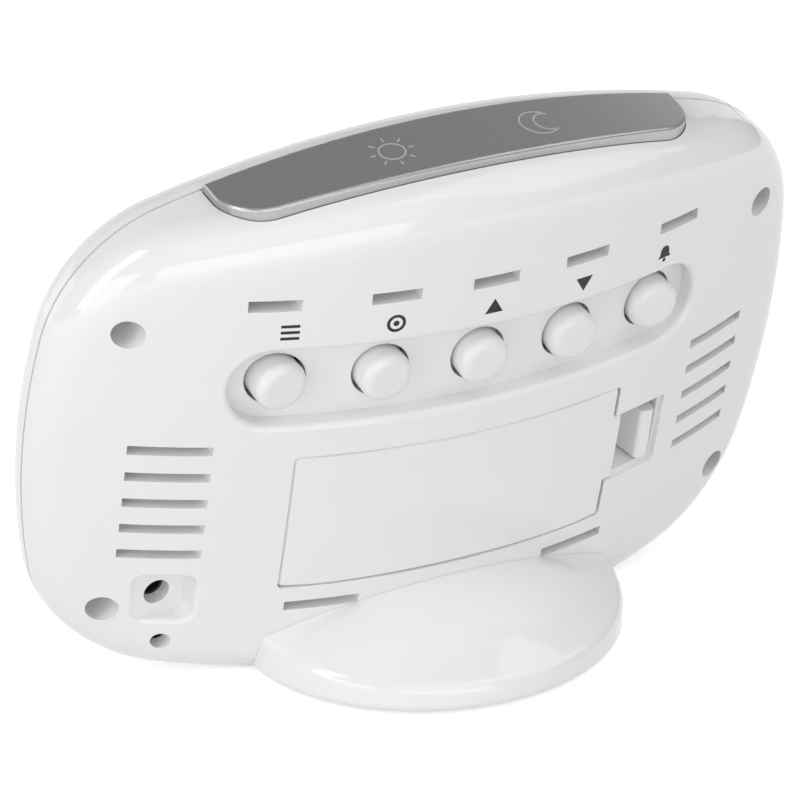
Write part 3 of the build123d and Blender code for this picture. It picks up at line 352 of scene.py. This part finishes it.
# the sleeve's bands as shares of the cell's length: can, sleeve, pale stripe, dark band, can
wrapLook = {
    "bands": ((0.0, "#b9b7b0"), (0.02, "#33566e"), (0.68, "#d9d4c6"), (0.74, "#2a2d30"), (0.965, "#b9b7b0")),
    "scuffMm": 2.0, "roughLow": 0.18, "roughHigh": 0.4, "metallic": 0.4,
}
upper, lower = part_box("upper_cell"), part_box("lower_cell")
cellFinish = {  # the cells lie head to tail
    "upper_cell": cellWrap("shrinkSleevedCellUpper", {**wrapLook, "start": upper[1][0], "end": upper[0][0]}),
    "lower_cell": cellWrap("shrinkSleevedCellLower", {**wrapLook, "start": lower[0][0], "end": lower[1][0]}),
}
for entry in frame["record"]["subparts"]:
    carried = nodes[entry["node"]]
    finish = cellFinish.get(entry["node"]) or finishes[entry["material_slot"]]
    for slot in carried.material_slots:
        slot.material = finish
print("materials:", len(finishes) + len(cellFinish))


def putPiece(name, points, faces, finish, body):
    # a finished surface: its place is in its mesh, and it rides on one body
    mesh = bpy.data.meshes.new(name)
    mesh.from_pydata(points, [], faces)
    mesh.materials.append(finish)
    mesh.update()
    piece = bpy.data.objects.new(name, mesh)
    scene.collection.objects.link(piece)
    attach(piece, body)
    return piece


def thicken(piece, millimetres, side):
    # a flat piece gets the thickness of its film: side is 1 or -1 along the normal, or 0 for both
    film = piece.modifiers.new("film", "SOLIDIFY")
    film.thickness = millimetres / metre
    film.offset = side


def stroke(path, width, closed):
    # flat line: every point of the path moved half the width along its normal, to both sides
    path = np.asarray(path, float)
    if closed:
        along = np.roll(path, -1, 0) - np.roll(path, 1, 0)
    else:
        along = np.gradient(path, axis=0)
    along /= np.linalg.norm(along, axis=1, keepdims=True)
    normal = np.column_stack((-along[:, 1], along[:, 0])) * width / 2
    count = len(path)
    first = np.arange(count if closed else count - 1)
    second = (first + 1) % count
    quads = np.column_stack((first, second, second + count, first + count))
    return np.vstack((path - normal, path + normal)), quads


def fill(path, rings):
    # filled shape: the outline drawn in towards its middle by equal shares, closed by one point
    path = np.asarray(path, float)
    middle = path.mean(0)
    shares = np.linspace(1.0, 0.0, rings + 1)[:-1]
    points = (middle + shares[:, None, None] * (path - middle)).reshape(-1, 2)
    count = len(path)
    step = np.arange(count)
    following = (step + 1) % count
    ring = np.column_stack((step, following, count + following, count + step))
    quads = np.concatenate([k * count + ring for k in range(rings - 1)])
    last = (rings - 1) * count
    tip = np.column_stack((last + step, last + following, np.full(count, len(points))))
    return np.vstack((points, middle)), quads.tolist() + tip.tolist()


def joined(shapes):
    # several flat shapes as one
    points, faces, base = [], [], 0
    for shapePoints, shapeFaces in shapes:
        points.append(shapePoints)
        faces += [[base + int(i) for i in face] for face in shapeFaces]
        base += len(shapePoints)
    return np.vstack(points), faces


def circle(radius, count, middle=(0.0, 0.0)):
    # points evenly all round
    turn = np.linspace(0.0, 2 * math.pi, count, endpoint=False)
    return np.column_stack((middle[0] + radius * np.cos(turn), middle[1] + radius * np.sin(turn)))


def arc(radius, halfTurns, count, middle=(0.0, 0.0)):
    # points evenly from one angle to another, both in half turns
    turn = math.pi * np.linspace(*halfTurns, count)
    return np.column_stack((middle[0] + radius * np.cos(turn), middle[1] + radius * np.sin(turn)))


def line(start, end, count):
    # points evenly from start to end
    share = np.linspace(0.0, 1.0, count)[:, None]
    return np.asarray(start) * (1 - share) + np.asarray(end) * share


def outlinePath(corners, count):
    # closed outline through straight sides, with points evenly along each side
    corners = np.asarray(corners, float)
    ends = np.roll(corners, -1, 0)
    return np.vstack([line(a, b, count + 1)[:-1] for a, b in zip(corners, ends)])


# Signs over the buttons, pad printed: places and films in millimetres, shapes in shares of the size
signs = {
    "height": 72.0, "pitch": 16.75, "rise": 0.015, "film": 0.02, "size": 1.45, "line": 0.52,
    "barRise": 0.75, "ringRadius": 0.9, "dotRadius": 0.34,
    "upArrow": ((-1.1, -0.75), (1.1, -0.75), (0.0, 1.0)),
    "downArrow": ((-1.1, 0.75), (0.0, -1.0), (1.1, 0.75)),
    "domeRadius": 0.62, "domeBase": 0.25, "waist": (0.68, -0.25), "brim": (0.95, -0.62),
    "clapperRadius": 0.24, "clapperDrop": 0.92,
}
# pad printed ink: flat black with a dull skin
inkBlack = mouldedPlastic("padPrintedInk", {
    "dark": "#0a0a0a", "light": "#121212", "cloudMm": 1.0, "skinMm": 0.2,
    "rough": 0.5, "bump": 0.1, "bumpMm": 0.01, "ior": 1.5})
size, width = signs["size"], signs["line"]
skirt = np.array((signs["brim"], signs["waist"]))
dome = arc(signs["domeRadius"], (0.0, 1.0), count=17, middle=(0.0, signs["domeBase"]))
bell = np.vstack((skirt, dome, skirt[::-1] * (-1, 1)))
clapper = circle(signs["clapperRadius"], count=20, middle=(0.0, -signs["clapperDrop"]))
signShapes = {
    "modeSign": joined([
        stroke(size * line((-1.0, rise), (1.0, rise), count=9), width, closed=False)
        for rise in (-signs["barRise"], 0.0, signs["barRise"])]),
    "setSign": joined([
        stroke(size * circle(signs["ringRadius"], count=40), width, closed=True),
        fill(size * circle(signs["dotRadius"], count=24), rings=3)]),
    "upSign": fill(size * outlinePath(signs["upArrow"], count=8), rings=6),
    "downSign": fill(size * outlinePath(signs["downArrow"], count=8), rings=6),
    "alarmSign": joined([fill(size * bell, rings=6), fill(size * clapper, rings=3)]),
}
middleSign = len(signShapes) // 2
for place, (name, (flat, faces)) in enumerate(signShapes.items()):
    x = flat[:, 0] + (place - middleSign) * signs["pitch"]
    y = flat[:, 1] + signs["height"]
    points = toRow(np.column_stack((x, y, backDepth(x, y) + signs["rise"])))
    sign = putPiece(name, points, faces, inkBlack, "case")
    thicken(sign, signs["film"], side=-1.0)
print("signs:", len(signShapes))

# Marks on the snooze bar, a sun and a crescent in thin raised lines: shapes in shares of the size
barMarks = {
    "proud": 1.5, "rise": 0.02, "film": 0.04, "depth": 7.6, "spread": 13.0, "size": 2.1, "line": 0.28,
    "rays": 8, "rayStart": 1.35, "rayEnd": 1.8,
    "outerRadius": 1.5, "outerTurns": (0.22, 1.78),
    "innerRadius": 1.1, "innerTurns": (1.62, 0.38), "innerShift": 0.78,
}
# the bar's paint on raised lines: paler, and less like metal
markPaint = flakePaint("paleSilverRaisedLine", {
    **flakeLook, "dark": "#cfd0d2", "light": "#dcdddf", "rough": 0.4, "bump": 0.1, "metallic": 0.5})
size, width = barMarks["size"], barMarks["line"]
rays = [
    stroke(size * line(barMarks["rayStart"] * way, barMarks["rayEnd"] * way, count=4), width, closed=False)
    for way in circle(1.0, count=barMarks["rays"])]
crescent = np.vstack((
    arc(barMarks["outerRadius"], barMarks["outerTurns"], count=41),
    arc(barMarks["innerRadius"], barMarks["innerTurns"], count=33, middle=(barMarks["innerShift"], 0.0))))
markShapes = {
    "sunMark": (-barMarks["spread"], joined([stroke(circle(size, count=36), width, closed=True), *rays])),
    "crescentMark": (barMarks["spread"], stroke(size * crescent, width, closed=True)),
}
for name, (across, (flat, faces)) in markShapes.items():
    x = flat[:, 0] + across
    # top of the bar: an arc that follows the body's upper edge
    topArc = np.sqrt((clock["topRadius"] + barMarks["proud"]) ** 2 - x**2)
    y = clock["topHeight"] - clock["topRadius"] + topArc
    points = toRow(np.column_stack((x, y + barMarks["rise"], barMarks["depth"] - flat[:, 1])))
    mark = putPiece(name, points, np.asarray(faces).tolist(), markPaint, "snooze")
    thicken(mark, barMarks["film"], side=-1.0)
print("marks:", len(markShapes))

# Display: segments on the glass, in millimetres as read from the front
display = {
    "middle": 47.0, "glassFront": -3.95, "rise": 0.03, "film": 0.02, "slant": 0.07, "gapShare": 0.16,
    "big": {
        "shown": "1008", "starts": (-37.5, -20.5, 5.5, 22.5),
        "base": 43.0, "width": 13.0, "height": 24.0, "line": 2.7},
    "small": {
        "shown": "063023", "starts": (-36.0, -28.0, -15.0, -7.0, 19.0, 27.0),
        "base": 27.5, "width": 5.4, "height": 9.5, "line": 1.15},
    "colon": {"radius": 1.6, "across": 0.6, "rises": (0.3, 0.7)},
    "dash": {"start": (-21.0, 32.2), "end": (-18.6, 32.2), "line": 1.1},
    "degree": {"radius": 0.9, "middle": (36.2, 36.4), "line": 0.6},
}
# liquid crystal as it shows through its glass: dark green-grey bars with a soft gloss
segmentInk = mouldedPlastic("liquidCrystalSegments", {
    "dark": "#1c211d", "light": "#232924", "cloudMm": 6.0, "skinMm": 0.5,
    "rough": 0.35, "bump": 0.02, "bumpMm": 0.01, "ior": 1.5})
# bars lit for each number: a is the top bar, b to f go on clockwise, g is the middle one
lit = {
    "0": "abcdef", "1": "bc", "2": "abged", "3": "abgcd", "4": "fgbc",
    "5": "afgcd", "6": "afgedc", "7": "abc", "8": "abcdefg", "9": "abcdfg"}


def digit(number, left, row):
    # seven bars with pointed ends, each a six-sided shape between two corners of the digit
    width, height, thick = row["width"], row["height"], row["line"]
    half = height / 2
    ends = {
        "a": ((0, height), (width, height)), "b": ((width, height), (width, half)),
        "c": ((width, half), (width, 0)), "d": ((0, 0), (width, 0)),
        "e": ((0, half), (0, 0)), "f": ((0, height), (0, half)), "g": ((0, half), (width, half))}
    pair = np.array([ends[name] for name in lit[number]], float)
    along = pair[:, 1] - pair[:, 0]
    along /= np.linalg.norm(along, axis=1, keepdims=True)
    across = np.column_stack((-along[:, 1], along[:, 0])) * thick / 2
    gap = along * thick * display["gapShare"]
    inset = along * thick / 2
    start, end = pair[:, 0] + gap, pair[:, 1] - gap
    near, far = start + inset, end - inset
    six = np.stack((start, near - across, far - across, end, far + across, near + across), 1)
    x, y = six.reshape(-1, 2).T
    points = np.column_stack((left + x + display["slant"] * y, row["base"] + y))
    return points, np.arange(len(points)).reshape(-1, 6)


big, small, colon = display["big"], display["small"], display["colon"]
dash, degree = display["dash"], display["degree"]
shapes = [
    digit(number, left, row) for row in (big, small) for number, left in zip(row["shown"], row["starts"])]
for share in colon["rises"]:
    rise = share * big["height"]
    spot = (colon["across"] + display["slant"] * rise, big["base"] + rise)
    shapes.append(fill(circle(colon["radius"], count=20, middle=spot), rings=3))
shapes.append(stroke(line(dash["start"], dash["end"], count=5), dash["line"], closed=False))
shapes.append(stroke(circle(degree["radius"], count=24, middle=degree["middle"]), degree["line"], closed=True))
flat, faces = joined(shapes)
# the display is read from the front, where the body's x runs the other way
depth = np.full(len(flat), display["glassFront"] - display["rise"])
points = toRow(np.column_stack((-flat[:, 0], flat[:, 1], depth)))
segments = putPiece("displaySegments", points, faces, segmentInk, "case")
thicken(segments, display["film"], side=1.0)

# Mask printed behind the lens, round the window, in millimetres
mask = {
    "halfWidth": 46.0, "halfHeight": 24.0, "windowPower": 40, "outerInset": 12.1, "cornerPower": 16.0,
    "depth": -5.0, "film": 0.03, "count": 360,
}


def reach(turn, centre, radius, middle):
    # distance from the middle to a large circle round it, in each direction
    dx, dy = np.cos(turn), np.sin(turn)
    ox, oy = middle[0] - centre[0], middle[1] - centre[1]
    b = dx * ox + dy * oy
    return -b + np.sqrt(b**2 - (ox**2 + oy**2 - radius**2))


count = mask["count"]
turn = np.linspace(0.0, 2 * math.pi, count, endpoint=False)
sideCentre = clock["width"] / 2 - clock["sideRadius"]
bodyArcs = (  # centre and radius: top, bottom and the two sides
    ((0.0, clock["topHeight"] - clock["topRadius"]), clock["topRadius"]),
    ((0.0, clock["bottomRadius"]), clock["bottomRadius"]),
    ((sideCentre, clock["sideCrest"]), clock["sideRadius"]),
    ((-sideCentre, clock["sideCrest"]), clock["sideRadius"]),
)
sides = np.stack([
    reach(turn, centre, radius - mask["outerInset"], (0.0, display["middle"])) for centre, radius in bodyArcs])
# outer edge: smooth smallest of the four arcs, which rounds the corners
outer = (sides ** -mask["cornerPower"]).sum(0) ** (-1 / mask["cornerPower"])
# inner edge: superellipse of the window
power = mask["windowPower"]
acrossShare = np.abs(np.cos(turn) / mask["halfWidth"])
upShare = np.abs(np.sin(turn) / mask["halfHeight"])
inner = (acrossShare**power + upShare**power) ** (-1 / power)
loops = np.stack((inner, outer))
flat = np.stack((loops * np.cos(turn), display["middle"] + loops * np.sin(turn)), -1).reshape(-1, 2)
step = np.arange(count)
following = (step + 1) % count
faces = np.column_stack((step, following, following + count, step + count)).tolist()
points = toRow(np.column_stack((flat, np.full(len(flat), mask["depth"]))))
# screen printed silver: a fine even speckle under the clear lens
silverPrint = mouldedPlastic("silverPrintUnderLens", {
    "dark": "#a0a3a5", "light": "#abaeb0", "cloudMm": 4.0, "skinMm": 0.4,
    "rough": 0.4, "bump": 0.05, "bumpMm": 0.01, "ior": 1.5})
lensMask = putPiece("lensMask", points, faces, silverPrint, "case")
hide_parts("lens_tape")  # the print hides the tape, which holds the lens from behind
thicken(lensMask, mask["film"], side=0.0)
print("display: segments and mask")

# Floor and soft studio light, in metres
studio = {
    "floor": 3.0, "floorGrey": 0.75, "nearGlow": 0.6, "farGlow": 0.82, "nearReach": 0.25, "farReach": 1.2,
    "worldLight": 0.32, "worldSeen": 1.0, "aim": (0.0, 0.0, 0.045),
}


def paleStage(name, look):
    # matt white paper: seen by the camera and in reflections it glows towards white,
    # less so near the middle, where the lamps light it and the object's shadow falls
    made, tree, place = newMaterial(name)
    away = addNode(tree, "ShaderNodeVectorMath", {0: place}, operation="LENGTH")
    glow = addNode(tree, "ShaderNodeMapRange", {
        "Value": away.outputs["Value"], "From Min": look["nearReach"], "From Max": look["farReach"],
        "To Min": look["nearGlow"], "To Max": look["farGlow"]})
    path = addNode(tree, "ShaderNodeLightPath")
    seen = path.outputs["Is Camera Ray"]
    for ray in ("Is Glossy Ray", "Is Transmission Ray"):
        seen = addNode(tree, "ShaderNodeMath", {0: seen, 1: path.outputs[ray]}, operation="MAXIMUM").outputs[0]
    shine = addNode(tree, "ShaderNodeMath", {0: seen, 1: glow.outputs["Result"]}, operation="MULTIPLY")
    soft = addNode(tree, "ShaderNodeBsdfDiffuse", {"Color": (look["floorGrey"],) * 3 + (1.0,)})
    light = addNode(tree, "ShaderNodeEmission", {"Strength": shine.outputs[0]})
    both = addNode(tree, "ShaderNodeAddShader", {0: soft.outputs[0], 1: light.outputs[0]})
    endMaterial(tree, both)
    return made


half = studio["floor"] / 2
floorMesh = bpy.data.meshes.new("floor")
floorMesh.from_pydata(
    [(-half, -half, 0), (half, -half, 0), (half, half, 0), (-half, half, 0)], [], [(0, 1, 2, 3)])
floorMesh.materials.append(paleStage("paleStudioFloor", studio))
floor = bpy.data.objects.new("floor", floorMesh)
scene.collection.objects.link(floor)

# the world lights the object softly, and the camera sees it white
world = bpy.data.worlds.new("softStudio")
scene.world = world
world.use_nodes = True
tree = world.node_tree
tree.nodes.clear()
path = addNode(tree, "ShaderNodeLightPath")
strength = addNode(tree, "ShaderNodeMapRange", {
    "Value": path.outputs["Is Camera Ray"], "To Min": studio["worldLight"], "To Max": studio["worldSeen"]})
sky = addNode(tree, "ShaderNodeBackground", {
    "Color": (1.0, 1.0, 1.0, 1.0), "Strength": strength.outputs["Result"]})
addNode(tree, "ShaderNodeOutputWorld", {"Surface": sky.outputs[0]})


def softbox(name, spot, target, wide, tall, power):
    # a flat panel of light that faces its target
    lamp = bpy.data.lights.new(name, "AREA")
    lamp.shape, lamp.size, lamp.size_y, lamp.energy = "RECTANGLE", wide, tall, power
    light = bpy.data.objects.new(name, lamp)
    light.location = spot
    light.rotation_euler = (Vector(target) - Vector(spot)).to_track_quat("-Z", "Y").to_euler()
    scene.collection.objects.link(light)


softboxes = {
    # name: place in metres, width, height, watts
    "leftLowSoftbox": ((1.026, 0.479, 0.245), 0.6, 0.5, 2.0),
    "highRearSoftbox": ((0.1, 0.75, 0.95), 0.9, 0.9, 1.5),
    "lowRearSoftbox": ((0.3, 1.3, 0.3), 1.2, 0.6, 5.0),
    "rightHighSoftbox": ((-0.7, 0.4, 0.9), 0.9, 0.9, 3.0),
    "stripSoftbox": ((0.7, 0.1, 0.45), 0.17, 0.8, 1.55),
    "frontLeftSoftbox": ((0.8, -0.8, 0.245), 0.6, 0.5, 1.3),
    "frontSoftbox": ((-0.4, -1.4, 0.4), 2.4, 0.7, 4.2),
}
for name, (spot, wide, tall, power) in softboxes.items():
    softbox(name, spot, studio["aim"], wide, tall, power)

# Camera solved from the photograph: place in metres, lens and sensor in millimetres
cameraLook = {
    "spot": (0.33616, 0.60158, 0.35255), "ahead": (-0.4372, -0.8005, -0.4098),
    "lens": 212.7, "sensor": 36.0, "farthest": 20.0,
}
cameraData = bpy.data.cameras.new("photoCamera")
cameraData.lens = cameraLook["lens"]
cameraData.sensor_width = cameraLook["sensor"]
cameraData.sensor_fit = "HORIZONTAL"
cameraData.clip_end = cameraLook["farthest"]
camera = bpy.data.objects.new("photoCamera", cameraData)
camera.location = cameraLook["spot"]
camera.rotation_euler = Vector(cameraLook["ahead"]).to_track_quat("-Z", "Y").to_euler()
scene.collection.objects.link(camera)
scene.camera = camera
scene.view_settings.view_transform = "Standard"
print("studio: ready")
